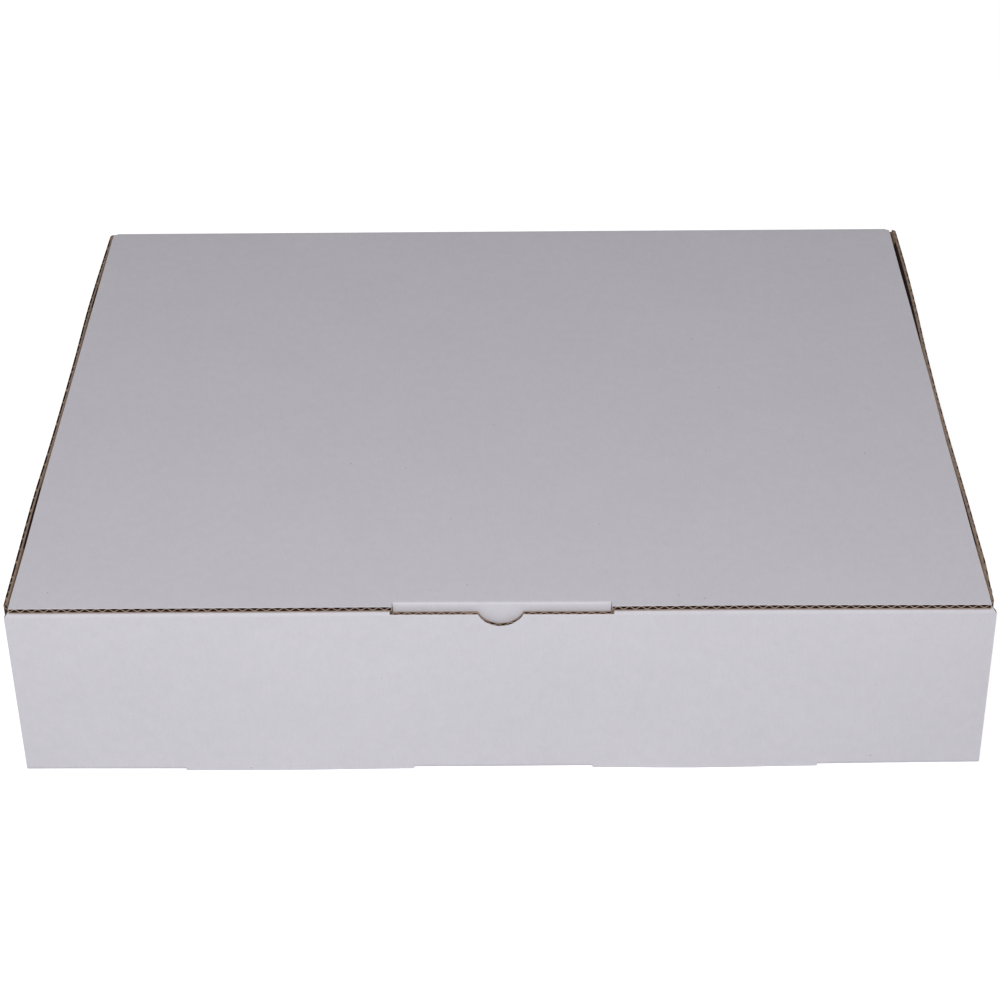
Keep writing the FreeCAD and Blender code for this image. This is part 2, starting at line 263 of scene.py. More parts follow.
def foldTray():
    piece = addBlock("trayBoard", (-wallEnd, slotBack, 0), (wallEnd, back - thick, thick))
    slicePiece(piece, "x", [s * x for s in (-1, 1) for x in (tray["slotStart"], tray["slotEnd"])])
    pull(piece, lambda c, n: n.y < -facing and betweenSlots(c.x), (0, frontInside - slotBack, 0))
    slicePiece(piece, "y", [-sideRun, sideRun])

    # front wall: three strips come up between the slots, and bridges close it over them
    fold(piece, lambda c, n: n.y < -facing and same(c.y, frontInside), (0, frontInside, thick), (1, 0, 0))
    pull(piece, lambda c, n: n.z > facing and c.y < frontInside, (0, 0, rollTop - thick * 2))
    for side in (-1, 1):
        chooseFaces(piece, lambda c, n: abs(n.x) > facing and c.y < frontInside and c.z > thick + near
                    and abs(c.x) < wallEnd - near and c.x * side > 0)
        bpy.ops.mesh.bridge_edge_loops()
    pull(piece, lambda c, n: n.z < -facing and c.y < frontInside and same(c.z, thick), (0, 0, -thick))
    for side in (-1, 1):
        pull(piece, lambda c, n: n.x * side > facing and c.y < frontInside and same(abs(c.x), wallEnd),
             (side * thick, 0, 0))

    # its top rolls over and comes down inside
    tabStart, tabEnd = tray["slotStart"] + tray["tabPlay"], tray["slotEnd"] - tray["tabPlay"]
    slicePiece(piece, "x", [s * x for s in (-1, 1) for x in (innerSide, tabStart, tabEnd)])
    rollPivot = rollTop - thick
    fold(piece, lambda c, n: n.z > facing and same(c.z, rollPivot) and c.y < frontInside,
         (0, frontInside, rollPivot), (1, 0, 0))
    pull(piece, lambda c, n: n.y > facing and same(c.y, frontInside) and c.z > rollPivot
         and abs(c.x) < innerSide, (0, tray["wallPocket"], 0))
    fold(piece, lambda c, n: n.y > facing and same(c.y, innerWall) and c.z > rollPivot,
         (0, innerWall, rollPivot), (1, 0, 0))
    pull(piece, lambda c, n: n.z < -facing and same(c.z, rollPivot) and c.y > innerWall,
         (0, 0, floorClear - rollPivot))
    pull(piece, lambda c, n: n.z < -facing and same(c.z, floorClear) and innerWall < c.y < innerBack
         and tabStart < abs(c.x) < tabEnd, (0, 0, air - floorClear))
    roundCorners(piece, lambda m, d: same(m.z, air) and innerWall < m.y < innerBack and abs(d.y) > thick / 2
                 and (same(abs(m.x), tabStart) or same(abs(m.x), tabEnd)), tray["tabCorner"], 1)

    # back wall, up to the hinge crease
    fold(piece, lambda c, n: n.y > facing and same(c.y, back - thick), (0, back - thick, thick), (-1, 0, 0))
    pull(piece, lambda c, n: n.z > facing and c.y > back - thick, (0, 0, lidUnder - thick))
    for side in (-1, 1):
        pull(piece, lambda c, n: n.x * side > facing and c.y > back - thick and same(abs(c.x), wallEnd),
             (side * thick, 0, 0))
    slicePiece(piece, "x", [-tray["creaseEnd"], tray["creaseEnd"]])
    fold(piece, lambda c, n: n.z > facing and same(c.z, lidUnder) and abs(c.x) < tray["creaseEnd"],
         hingePivot, (-1, 0, 0), tray["hingeTurn"])
    shift(piece, lambda c, n: n.z > facing and same(c.z, lidUnder) and abs(c.x) > tray["creaseEnd"],
          (0, 0, -tray["lidSeat"]))

    # side walls and their corner flaps
    for side in (-1, 1):
        fold(piece, lambda c, n: n.x * side > facing and same(abs(c.x), wallEnd) and abs(c.y) < sideRun
             and c.z < thick, (side * wallEnd, 0, thick), (0, side, 0))
        pull(piece, lambda c, n: n.z > facing and c.x * side > wallEnd and abs(c.y) < sideRun
             and c.z < thick + near, (0, 0, top - thick))
    earFoot = frontFlapTop + tray["flapSlit"]
    slicePiece(piece, "z", [floorClear, frontFlapTop, earFoot, rollTop])
    for side in (-1, 1):
        # above the front flap the wall runs on straight to a square end
        pull(piece, lambda c, n: n.y < -facing and same(c.y, -sideRun) and c.x * side > wallEnd
             and c.z > earFoot, (0, -thick, 0))
        for end, foldTop, flapTop in ((-1, frontFlapTop, frontFlapTop), (1, top, rollTop)):
            pivot = (side * wallEnd, end * sideRun, 0)
            fold(piece, lambda c, n: n.y * end > facing and same(c.y, end * sideRun) and c.x * side > wallEnd
                 and floorClear < c.z < foldTop, pivot, (0, 0, -side * end))
            pull(piece, lambda c, n: n.x * side < -facing and same(abs(c.x), wallEnd) and c.y * end > sideRun
                 and abs(c.y) < sideRun + thick and floorClear < c.z < flapTop and c.x * side > 0,
                 (-side * (wallEnd - half + tray["cornerFlap"]), 0, 0))
    flapEnd = half - tray["cornerFlap"]
    roundCorners(piece, lambda m, d: same(abs(m.x), flapEnd) and abs(d.y) > thick / 2 and abs(m.y) > sideRun
                 and abs(m.y) < sideRun + thick
                 and (same(m.z, floorClear) or same(m.z, frontFlapTop if m.y < 0 else rollTop)),
                 tray["flapRadius"])
    return piece


mouth = {
    "halfWidth": 60.35 * mm,
    "edge": lidUnder - 2.5 * mm,
    "thumbWidth": 24.6 * mm,
    "thumbDepth": 7.7 * mm,
    "thumbSides": 72,
    "flutesOpen": 8.0 * mm,
}
mouthFloor = mouth["edge"] - mouth["thumbDepth"] - mouth["flutesOpen"]


def addMouthCutters():
    # the mouth in the outer board, the hollow of the roll behind it, and the thumb notch
    wide, above = mouth["halfWidth"], top + thick
    outer = addBlock("mouthOuter", (-wide, front - thick, mouth["edge"]),
                     (wide, frontInside + air / 4, above))
    hollow = addBlock("mouthHollow", (-wide, frontInside, rollTop - thick * 1.5),
                      (wide, innerWall, above))
    rise = mouth["thumbDepth"]
    reach = mouth["thumbWidth"] / 2
    radius = (reach * reach + rise * rise) / (rise * 2)
    settle(hollow)
    bpy.ops.mesh.primitive_cylinder_add(
        vertices=mouth["thumbSides"], radius=radius, depth=thick * 2 + air,
        location=(0, front + thick / 2 - air, mouth["edge"] - rise + radius),
        rotation=(math.pi / 2, 0, 0))
    thumb = bpy.context.object
    thumb.name = "thumbNotch"
    bpy.ops.object.transform_apply(location=True, rotation=True, scale=True)
    return [outer, hollow, thumb]


def carveTray(piece):
    cutters = addMouthCutters()
    wide, tall = tray["frontCorner"]
    for side in (-1, 1):
        ends = sorted((side * (half - wide * 2), side * (half + thick)))
        corner = addBlock("cornerCutter", (ends[0], front - thick, rollTop - thick * 2),
                          (ends[1], frontInside + air / 2, top))
        trimPiece(corner, (side * (half - wide), 0, rollTop), (side * tall, 0, wide))
        cutters.append(corner)
    liner, reach = board["liner"], mouth["halfWidth"] - board["liner"]
    cutters.append(addBlock("flutePocket", (-reach, front + liner, mouthFloor),
                            (reach, frontInside - liner, top)))
    for cutter in cutters:
        carve(piece, cutter)
        dropPiece(cutter)


trayBoard = foldTray()
print("tray folded:", len(trayBoard.data.polygons), "faces")
carveTray(trayBoard)
print("tray cut:", len(trayBoard.data.polygons), "faces")


# lid: one panel with a dust flap at each side, a tongue in front and half the hinge crease behind

lid = {
    "dustFront": 207.8 * mm,
    "dustBack": 206.0 * mm,
    "dustSlant": 12.0 * mm,
    "dustCorner": 14.0 * mm,
    "foldRadius": 1.2 * mm,
    "foldSteps": 5,
    "cornerReach": 261.3 * mm,
    "hingeCorner": (1.2 * mm, 0.6 * mm),
    "tongueHalf": 58.75 * mm,
    "tongueSlit": 0.35 * mm,
    "tongueGap": 0.25 * mm,
    "tongueEnd": top - 20.0 * mm,
    "tongueLean": 0.465 * mm,
    "tongueCorner": 8.0 * mm,
    "flutesOpen": 8.0 * mm,
}
slitEnd = lid["tongueHalf"] + lid["tongueSlit"]


def hasFlap(y):
    return -lid["dustFront"] < y < lid["dustBack"]


def foldLid():
    creaseSide, tongue = lidSide - thick, lid["tongueHalf"]
    tongueFace = frontInside + lid["tongueGap"]
    slitStop = tongueFace + lid["foldRadius"]
    piece = addBlock("lidBoard", (-creaseSide, slitStop, lidUnder), (creaseSide, back - thick, top))
    slicePiece(piece, "x", [s * x for s in (-1, 1) for x in (tongue, slitEnd)])
    pull(piece, lambda c, n: n.y < -facing and abs(c.x) > slitEnd, (0, front - slitStop, 0))
    pull(piece, lambda c, n: n.y < -facing and abs(c.x) < tongue, (0, -lid["foldRadius"], 0))
    slicePiece(piece, "y", [tongueFace + thick])
    pull(piece, lambda c, n: n.z < -facing and c.y < tongueFace + thick and abs(c.x) < tongue,
         (0, lid["tongueLean"], lid["tongueEnd"] - lidUnder))
    roundCorners(piece, lambda m, d: same(m.z, lid["tongueEnd"]) and abs(d.y) > thick / 8
                 and same(abs(m.x), tongue), lid["tongueCorner"])
    roundCorners(piece, lambda m, d: same(m.z, top) and same(m.y, tongueFace) and abs(m.x) < tongue,
                 lid["foldRadius"], lid["foldSteps"])
    fold(piece, lambda c, n: n.y > facing and same(c.y, back - thick), hingePivot, (1, 0, 0),
         tray["hingeTurn"])

    # the panel's sides reach out, and the dust flaps hang from them on sharp creases
    slicePiece(piece, "y", [-lid["dustFront"], lid["dustBack"]])
    for side in (-1, 1):
        pull(piece, lambda c, n: n.x * side > facing and same(c.x * side, creaseSide) and c.z > lidUnder
             and c.y < back - thick, (side * (lid["cornerReach"] - creaseSide), 0, 0))
        pull(piece, lambda c, n: n.x * side > facing and same(c.x * side, lid["cornerReach"])
             and hasFlap(c.y), (side * (lidSide - lid["cornerReach"]), 0, 0))
        pull(piece, lambda c, n: n.z < -facing and c.x * side > creaseSide and same(c.z, lidUnder)
             and hasFlap(c.y), (0, 0, lidLow.z - lidUnder))
        for y, lean in ((-lid["dustFront"], 1), (lid["dustBack"], -1)):
            shiftEdges(piece, lambda m, d: same(m.z, lidLow.z) and same(m.y, y) and m.x * side > creaseSide,
                       (0, lean * lid["dustSlant"], 0))
        roundCorners(piece, lambda m, d: same(m.x * side, lidSide) and same(m.z, top) and abs(d.y) > thick,
                     lid["foldRadius"], lid["foldSteps"])

        # cut corner at the hinge
        for x, y, move in ((lid["cornerReach"], back - thick, (0, -lid["hingeCorner"][1], 0)),
                           (creaseSide, creaseStop[1], (-side * lid["hingeCorner"][0], 0, 0))):
            shiftEdges(piece, lambda m, d: same(m.x * side, x) and abs(m.y - y) < thick / 2
                       and m.y > back - thick - near and abs(d.x) < near and abs(d.z) > thick / 2, move)
    ends = (-lid["dustFront"] + lid["dustSlant"], lid["dustBack"] - lid["dustSlant"])
    roundCorners(piece, lambda m, d: same(m.z, lidLow.z) and abs(d.x) > thick / 2
                 and (same(m.y, ends[0]) or same(m.y, ends[1])), lid["dustCorner"])

    # the flutes stand open behind the cut front edge
    chooseFaces(piece, lambda c, n: n.y < -facing and same(c.y, front))
    bpy.ops.mesh.inset(thickness=board["liner"], use_boundary=True)
    bpy.ops.mesh.extrude_region_move(TRANSFORM_OT_translate={"value": (0, lid["flutesOpen"], 0)})
    closePiece()
    return piece


lidBoard = foldLid()
print("lid folded:", len(lidBoard.data.polygons), "faces")


# fluting: the wavy paper that shows in the open edges

waves = {
    "round": 1.0 * mm,
    "roundSteps": 3,
    "crestLoss": 0.52,  # rounding lowers the crests, by this share of its radius
    "setBack": 0.12 * mm,  # the cut paper stands this far behind the liners
    "smoothAngle": 40,
}
setBack = waves["setBack"]


def addFluting(name, start, end, lowFace, deep, upright=False):
    # the waves run along X; their height is along Z, or along Y for an upright board
    pitch = board["flutePitch"]
    swing = thick - board["liner"] * 2 - board["fluting"] + waves["round"] * waves["crestLoss"]
    rise = Vector((0, swing, 0)) if upright else Vector((0, 0, swing))
    base = lowFace + (thick - swing) / 2
    middle = sum(deep) / 2
    place = (start + pitch / 4, base, middle) if upright else (start + pitch / 4, middle, base)
    deselectAll()
    turn = math.pi / 2 if upright else 0
    bpy.ops.mesh.primitive_plane_add(size=1, location=place, rotation=(turn, 0, 0))
    piece = bpy.context.object
    piece.name = name
    piece.scale = (pitch / 2, deep[1] - deep[0], 1)
    bpy.ops.object.transform_apply(location=True, rotation=True, scale=True)
    chooseEdges(piece, lambda m, d: same(m.x, start + pitch / 2))
    bpy.ops.transform.translate(value=rise)
    bpy.ops.mesh.extrude_region_move(TRANSFORM_OT_translate={"value": Vector((pitch / 2, 0, 0)) - rise})
    closePiece()
    count = math.ceil((end - start) / pitch)
    useModifier(piece, "ARRAY", count=count, use_relative_offset=False, use_constant_offset=True,
                constant_offset_displace=(pitch, 0, 0), use_merge_vertices=True, merge_threshold=near / 10)
    chooseEdges(piece, lambda m, d: same(d.x, 0) and start + near < m.x < start + count * pitch - near)
    bpy.ops.mesh.bevel(offset=waves["round"], segments=waves["roundSteps"], affect="EDGES")
    closePiece()
    useModifier(piece, "SOLIDIFY", thickness=board["fluting"], offset=0, use_even_offset=True)
    trimPiece(piece, (start + air, 0, 0), (1, 0, 0))
    trimPiece(piece, (end - air, 0, 0), (-1, 0, 0))
    return piece


lidFlutes = [
    addFluting("lidFluting" + word, low, high, lidUnder, (front + setBack, front + lid["flutesOpen"]))
    for word, low, high in (("Left", -lid["cornerReach"], -slitEnd), ("Right", slitEnd, lid["cornerReach"]))
]
mouthFlutes = addFluting("mouthFluting", -mouth["halfWidth"], mouth["halfWidth"], front,
                         (mouthFloor + setBack, mouth["edge"] - setBack), upright=True)
for cutter in addMouthCutters():
    if cutter.name == "thumbNotch":
        cutter.location.z -= setBack
        carve(mouthFlutes, cutter)
    dropPiece(cutter)
flutes = lidFlutes + [mouthFlutes]
print("fluting:", [len(piece.data.polygons) for piece in flutes], "faces")


# hinge crease: the outer liner runs on from the back wall to the lid

crease = {
    "sink": 0.03 * mm,
    "steps": 18,
}


def addHingeLiner():
    width, height = tray["creaseEnd"], top - crease["sink"]
    piece = addBlock("hingeLiner", (-width, back - thick - air / 4, height - board["liner"]),
                     (width, back - thick, height))
    chooseFaces(piece, lambda c, n: n.y > facing)
    bpy.ops.mesh.spin(steps=crease["steps"], angle=math.radians(90), center=hingePivot, axis=(1, 0, 0))
    mergeDoubles(piece)
    return piece


hingeLiner = addHingeLiner()


# materials

def feed(tree, socket, value):
    # a link from another socket, or else a plain value
    if isinstance(value, bpy.types.NodeSocket):
        tree.links.new(value, socket)
    else:
        socket.default_value = value


def setNode(tree, node, **settings):
    # settings are the node's own properties, or its sockets with underscores for spaces
    for name, value in settings.items():
        if hasattr(node, name):
            setattr(node, name, value)
        else:
            feed(tree, node.inputs[name.replace("_", " ")], value)


def addNode(tree, kind, **settings):
    node = tree.nodes.new("ShaderNode" + kind)
    setNode(tree, node, **settings)
    return node


def calc(tree, operation, *values):
    # a Math node on numbers and sockets
    node = addNode(tree, "Math", operation=operation)
    for place, value in enumerate(values):
        feed(tree, node.inputs[place], value)
    return node.outputs[0]


def weigh(tree, *parts):
    # the sum of each value times its weight
    scaled = [calc(tree, "MULTIPLY", value, weight) for value, weight in parts]
    total = scaled.pop()
    while scaled:
        total = calc(tree, "ADD", scaled.pop(), total)
    return total


def addShare(tree, value, other, share):
    return calc(tree, "ADD", value, calc(tree, "MULTIPLY", other, share))


def apart(tree, first, second):
    return calc(tree, "ABSOLUTE", calc(tree, "SUBTRACT", first, second))


def ramp(tree, value, low, high, start=0.0, end=1.0):
    # a smooth step of the value from low to high
    node = addNode(tree, "MapRange", interpolation_type="SMOOTHSTEP", Value=value,
                   From_Min=low, From_Max=high, To_Min=start, To_Max=end)
    return node.outputs["Result"]


def mixColours(tree, factor, first, second):
    node = addNode(tree, "Mix", data_type="RGBA")
    for socket, value in zip(("Factor", 6, 7), (factor, first, second)):  # 6 and 7 are its colours
        feed(tree, node.inputs[socket], value)
    return node.outputs[2]


def newGroup(name, inputs, outputs):
    group = bpy.data.node_groups.new(name, "ShaderNodeTree")
    for socket, (kind, value) in inputs.items():
        made = group.interface.new_socket(socket, in_out="INPUT", socket_type="NodeSocket" + kind)
        if value is not None:
            made.default_value = value
    for socket, kind in outputs.items():
        group.interface.new_socket(socket, in_out="OUTPUT", socket_type="NodeSocket" + kind)
    return group, group.nodes.new("NodeGroupInput").outputs, group.nodes.new("NodeGroupOutput").inputs


def useGroup(tree, group, **values):
    return addNode(tree, "Group", node_tree=group, **values).outputs


pulp = {
    "flockScale": 160.0,
    "wideScale": 17.0,
    "strandScale": (1, 0.16, 0.16),  # strands lie up the walls and from front to back
    "shares": (0.34, 0.30, 0.18, 0.18),  # of fine pulp, flocks, wide clouds and strands
    "speckScale": 95.0,
    "speckSize": (0.055, 0.03),
    "speckFields": 31.0,
    "speckRarity": (0.60, 0.66),
    "speckStrength": 0.6,
}


def paperGroup():
    # cloudy paper: pulp flocks of three sizes, fibres that lie mostly one way, and rare specks
    tree, given, made = newGroup("paperPulp", {
        "Vector": ("Vector", None), "Base": ("Color", (0.6, 0.6, 0.6, 1)),
        "Cloud": ("Color", (0.5, 0.5, 0.5, 1)), "Speck": ("Color", (0.2, 0.18, 0.16, 1)),
        "Contrast": ("Float", 1.0), "Fibre Scale": ("Float", 900.0),
    }, {"Color": "Color", "Height": "Float"})

    def noise(place, scale, detail, roughness=0.5):
        return addNode(tree, "TexNoise", Vector=place, Scale=scale, Detail=detail,
                       Roughness=roughness).outputs[0]

    fine = noise(given["Vector"], given["Fibre Scale"], 4.0, 0.6)
    flock = noise(given["Vector"], pulp["flockScale"], 3.0, 0.55)
    wide = noise(given["Vector"], pulp["wideScale"], 2.0)
    run = addNode(tree, "Mapping", Vector=given["Vector"], Scale=pulp["strandScale"])
    strand = noise(run.outputs[0], given["Fibre Scale"], 2.0)
    blend = weigh(tree, *zip((fine, flock, wide, strand), pulp["shares"]))
    swing = calc(tree, "MULTIPLY", calc(tree, "SUBTRACT", blend, 0.5), given["Contrast"])
    share = addNode(tree, "Clamp", Value=calc(tree, "ADD", swing, 0.5)).outputs[0]
    cell = addNode(tree, "TexVoronoi", Vector=given["Vector"], Scale=pulp["speckScale"], Randomness=1.0)
    rare = noise(given["Vector"], pulp["speckFields"], 0.0)
    speck = calc(tree, "MULTIPLY", ramp(tree, cell.outputs["Distance"], *pulp["speckSize"]),
                 ramp(tree, rare, *pulp["speckRarity"]))
    paper = mixColours(tree, share, given["Base"], given["Cloud"])
    speck = calc(tree, "MULTIPLY", speck, pulp["speckStrength"])
    feed(tree, made["Color"], mixColours(tree, speck, paper, given["Speck"]))
    feed(tree, made["Height"], weigh(tree, (fine, 0.5), (strand, 0.5)))
    return tree


def ribGroup():
    # the fluting shows through the skin as a faint washboard, stronger here and there
    tree, given, made = newGroup("fluteRibs", {
        "Across": ("Float", 0.0), "Pitch": ("Float", board["flutePitch"]), "Vector": ("Vector", None),
    }, {"Height": "Float"})
    drift = addNode(tree, "TexNoise", Vector=given["Vector"], Scale=9.0, Detail=1.0)
    turns = calc(tree, "DIVIDE", given["Across"], given["Pitch"])
    wave = calc(tree, "COSINE", calc(tree, "MULTIPLY", turns, math.tau))
    feed(tree, made["Height"], calc(tree, "MULTIPLY", wave, drift.outputs[0]))
    return tree


section = {
    "tearScale": 420.0,
    "tearAlong": 0.0011,  # torn fibres move the waves by this many metres
    "waveHeight": 0.33,  # depths are shares of the board's thickness, and 0.5 is its middle
    "wavePaper": (0.24, 0.14),
    "tornScale": (70.0, 2.2),
    "tornWhere": (0.46, 0.56),
    "tornDepth": 0.27,
    "tornStray": 0.5,
    "tornWide": (0.17, 0.10),
    "linerFrom": (0.36, 0.41),
    "linerStray": 0.05,
    "skinTo": (0.06, 0.03),
    "skinStray": 0.08,
    "grainScale": 1500.0,
    "grainWear": (0.3, 0.7, 0.0, 0.22),
    "grainHeight": 0.3,
    "streakScale": (240.0, 3.0),
    "streakWear": (0.42, 0.66, 0.0, 0.34),
}


def edgeGroup():
    # a die-cut edge: U is metres along it, V runs from the white skin to the kraft one
    tree, given, made = newGroup("cutSection", {
        "UV": ("Vector", None), "Vector": ("Vector", None),
        "Across": ("Float", 1.0), "Pitch": ("Float", board["flutePitch"]),
        "Paper": ("Color", (0.3, 0.2, 0.14, 1)), "Hollow": ("Color", (0.03, 0.02, 0.014, 1)),
        "Skin": ("Color", (0.5, 0.48, 0.5, 1)),
    }, {"Color": "Color", "Height": "Float"})
    place = addNode(tree, "SeparateXYZ", Vector=given["UV"])
    along, depth = place.outputs[0], place.outputs[1]

    def runs(scale, detail):
        # a noise that is drawn out along the edge
        spot = addNode(tree, "CombineXYZ", X=calc(tree, "MULTIPLY", along, scale[0]),
                       Y=calc(tree, "MULTIPLY", depth, scale[1]))
        return addNode(tree, "TexNoise", Vector=spot.outputs[0], Scale=1.0, Detail=detail,
                       Roughness=0.6).outputs[0]

    tear = addNode(tree, "TexNoise", Vector=given["Vector"], Scale=section["tearScale"], Detail=3.0)
    loose = calc(tree, "SUBTRACT", tear.outputs[0], 0.5)
    turns = calc(tree, "DIVIDE", addShare(tree, along, loose, section["tearAlong"]), given["Pitch"])
    swing = calc(tree, "SINE", calc(tree, "MULTIPLY", turns, math.tau))
    wave = calc(tree, "ADD", calc(tree, "MULTIPLY", swing, section["waveHeight"]), 0.5)
    flute = ramp(tree, apart(tree, depth, wave), *section["wavePaper"])

    # along the flutes the knife leaves one of them lying open in torn lengths, painted in the dark of the
    # shade inside them
    shadedRuns = runs(section["tornScale"], 3.0)
    strata = apart(tree, depth, addShare(tree, section["tornDepth"], loose, section["tornStray"]))
    openRun = calc(tree, "MULTIPLY", ramp(tree, strata, *section["tornWide"]),
                   ramp(tree, shadedRuns, *section["tornWhere"]))
    side = calc(tree, "SUBTRACT", 1.0, openRun)
    filled = addNode(tree, "Mix", Factor=given["Across"], A=side, B=flute)
    middle = addShare(tree, apart(tree, depth, 0.5), loose, section["linerStray"])
    paper = calc(tree, "MAXIMUM", filled.outputs[0], ramp(tree, middle, *section["linerFrom"]))

    grain = addNode(tree, "TexNoise", Vector=given["Vector"], Scale=section["grainScale"], Detail=3.0,
                    Roughness=0.7)
    streak = runs(section["streakScale"], 2.0)
    wear = calc(tree, "ADD", ramp(tree, grain.outputs[0], *section["grainWear"]),
                ramp(tree, streak, *section["streakWear"]))
    shade = mixColours(tree, wear, given["Paper"], given["Hollow"])
    # painted shade: where no paper stands, in the flutes' empty voids, the colour is the dark shade colour
    body = mixColours(tree, paper, given["Hollow"], shade)
    skin = ramp(tree, addShare(tree, depth, loose, section["skinStray"]), *section["skinTo"])
    feed(tree, made["Color"], mixColours(tree, skin, body, given["Skin"]))
    feed(tree, made["Height"], addShare(tree, paper, grain.outputs[0], section["grainHeight"]))
    return tree


def newMaterial(name):
    material = bpy.data.materials.new(name)
    material.use_nodes = True
    tree = material.node_tree
    return material, tree, tree.nodes["Principled BSDF"]


whiteSkin = {
    "base": (0.640, 0.622, 0.672, 1),
    "cloud": (0.560, 0.547, 0.592, 1),
    "speck": (0.20, 0.17, 0.15, 1),
    "contrast": 2.0,
    "roughness": (0.62, 0.74),
    "ribDepth": 0.012 * mm,
}
kraftSkin = {
    "base": (0.335, 0.235, 0.150, 1),
    "cloud": (0.235, 0.160, 0.098, 1),
    "speck": (0.09, 0.055, 0.03, 1),
    "contrast": 1.6,
    "roughness": (0.80, 0.92),
    "ribDepth": 0.03 * mm,
}
cutEdge = {
    "paper": (0.335, 0.238, 0.182, 1),
    # painted shade: the dark that the empty flute voids of a cut edge show
    "hollow": (0.030, 0.020, 0.015, 1),
    "skin": (0.42, 0.38, 0.38, 1),
    "roughness": 0.92,
    "gloss": 0.2,
    "relief": 0.6,
    "depth": 0.25 * mm,
}
fluting = {
    "base": (0.44, 0.335, 0.27, 1),
    "cloud": (0.28, 0.20, 0.155, 1),
    "speck": (0.10, 0.07, 0.05, 1),
    "contrast": 2.0,
    "roughness": (0.85, 0.95),
    # painted shade: the colour deep in flutes, grooves and gaps, reached over this range of V
    "shadeColour": (0.034, 0.017, 0.013, 1),
    "shadeRamp": (0.0, 0.045),
    "gloss": 0.15,
}
relief = {
    "gloss": 0.35,
    "pulp": (0.35, 0.65),  # heights between which the paper goes from smooth to rough
    "grain": 0.5,
    "grainDepth": 0.02 * mm,
    "wallFrom": (0.6, 0.8),  # faces turned this far sideways have their ribs lying flat
}

paperPulp, fluteRibs, cutSection = paperGroup(), ribGroup(), edgeGroup()


def usePaper(tree, coords, look):
    return useGroup(tree, paperPulp, Vector=coords["Object"], Base=look["base"], Cloud=look["cloud"],
                    Speck=look["speck"], Contrast=look["contrast"])


def skinMaterial(name, look, ribbed=True):
    material, tree, shader = newMaterial(name)
    coords = addNode(tree, "TexCoord").outputs
    paper = usePaper(tree, coords, look)
    grain = addNode(tree, "Bump", Strength=relief["grain"], Distance=relief["grainDepth"],
                    Height=paper["Height"])
    if ribbed:
        place = addNode(tree, "SeparateXYZ", Vector=coords["Object"]).outputs
        normal = addNode(tree, "SeparateXYZ", Vector=coords["Normal"]).outputs
        sideways = ramp(tree, calc(tree, "ABSOLUTE", normal[0]), *relief["wallFrom"])
        across = addNode(tree, "Mix", Factor=sideways, A=place[0], B=place[2])
        wave = useGroup(tree, fluteRibs, Across=across.outputs[0], Vector=coords["Object"])
        washboard = addNode(tree, "Bump", Strength=1.0, Distance=look["ribDepth"], Height=wave["Height"])
        setNode(tree, grain, Normal=washboard.outputs[0])
    roughness = ramp(tree, paper["Height"], *relief["pulp"], *look["roughness"])
    setNode(tree, shader, Base_Color=paper["Color"], Roughness=roughness, Specular_IOR_Level=relief["gloss"],
            Normal=grain.outputs[0])
    return material


def deepShadeMaterial(name):
    # painted shade: the paper's own colour where the knife cut it, and soon painted dark further in, for the
    # shade deep in the flutes
    material, tree, shader = newMaterial(name)
    coords = addNode(tree, "TexCoord").outputs
    paper = usePaper(tree, coords, fluting)
    place = addNode(tree, "SeparateXYZ", Vector=coords["UV"])
    inside = ramp(tree, place.outputs[1], *fluting["shadeRamp"])
    setNode(tree, shader, Base_Color=mixColours(tree, inside, paper["Color"], fluting["shadeColour"]),
            Roughness=fluting["roughness"][1], Specular_IOR_Level=fluting["gloss"])
    return material


def edgeMaterial(name, across):
    material, tree, shader = newMaterial(name)
    coords = addNode(tree, "TexCoord").outputs
    cut = useGroup(tree, cutSection, UV=coords["UV"], Vector=coords["Object"], Across=across,
                   Paper=cutEdge["paper"], Hollow=cutEdge["hollow"], Skin=cutEdge["skin"])
    rough = addNode(tree, "Bump", Strength=cutEdge["relief"], Distance=cutEdge["depth"], Height=cut["Height"])
    setNode(tree, shader, Base_Color=cut["Color"], Roughness=cutEdge["roughness"],
            Specular_IOR_Level=cutEdge["gloss"], Normal=rough.outputs[0])
    return material


materials = {
    "whiteSkin": skinMaterial("whiteSkin", whiteSkin),
    "kraftSkin": skinMaterial("kraftSkin", kraftSkin),
    "cutAcross": edgeMaterial("cutAcross", 1.0),
    "cutAlong": edgeMaterial("cutAlong", 0.0),
    "linerEdge": skinMaterial("linerEdge", fluting, ribbed=False),
    "deepShade": deepShadeMaterial("deepShade"),
}
print("materials made:", len(materials))


# skins: white outside, kraft inside, and the cut edges between them

slotNames = list(materials)
skinSpread = 25  # degrees between faces that carry one skin


def paintChosen(piece, slot):
    piece.active_material_index = slotNames.index(slot)
    bpy.ops.object.material_slot_assign()
    closePiece()


def paint(piece, slot, wanted):
    chooseFaces(piece, wanted)
    paintChosen(piece, slot)


def fluteDirection(piece, c):
    # the way that the flutes run in the panel at this place
    if piece is lidBoard:
        inTongue = abs(c.x) < lid["tongueHalf"] and c.z < lidUnder
        return Vector((0, 0, 1)) if inTongue else Vector((0, 1, 0))
    if sideRun < abs(c.y) < sideRun + thick + near and abs(c.x) < wallEnd and c.z > thick + near:
        return Vector((1, 0, 0))
    if abs(c.x) > wallEnd + near and abs(c.y) < sideRun + thick + near:
        return Vector((0, 1, 0))
    return Vector((0, 0, 1)) if abs(c.y) > -innerBack - near else Vector((0, 1, 0))


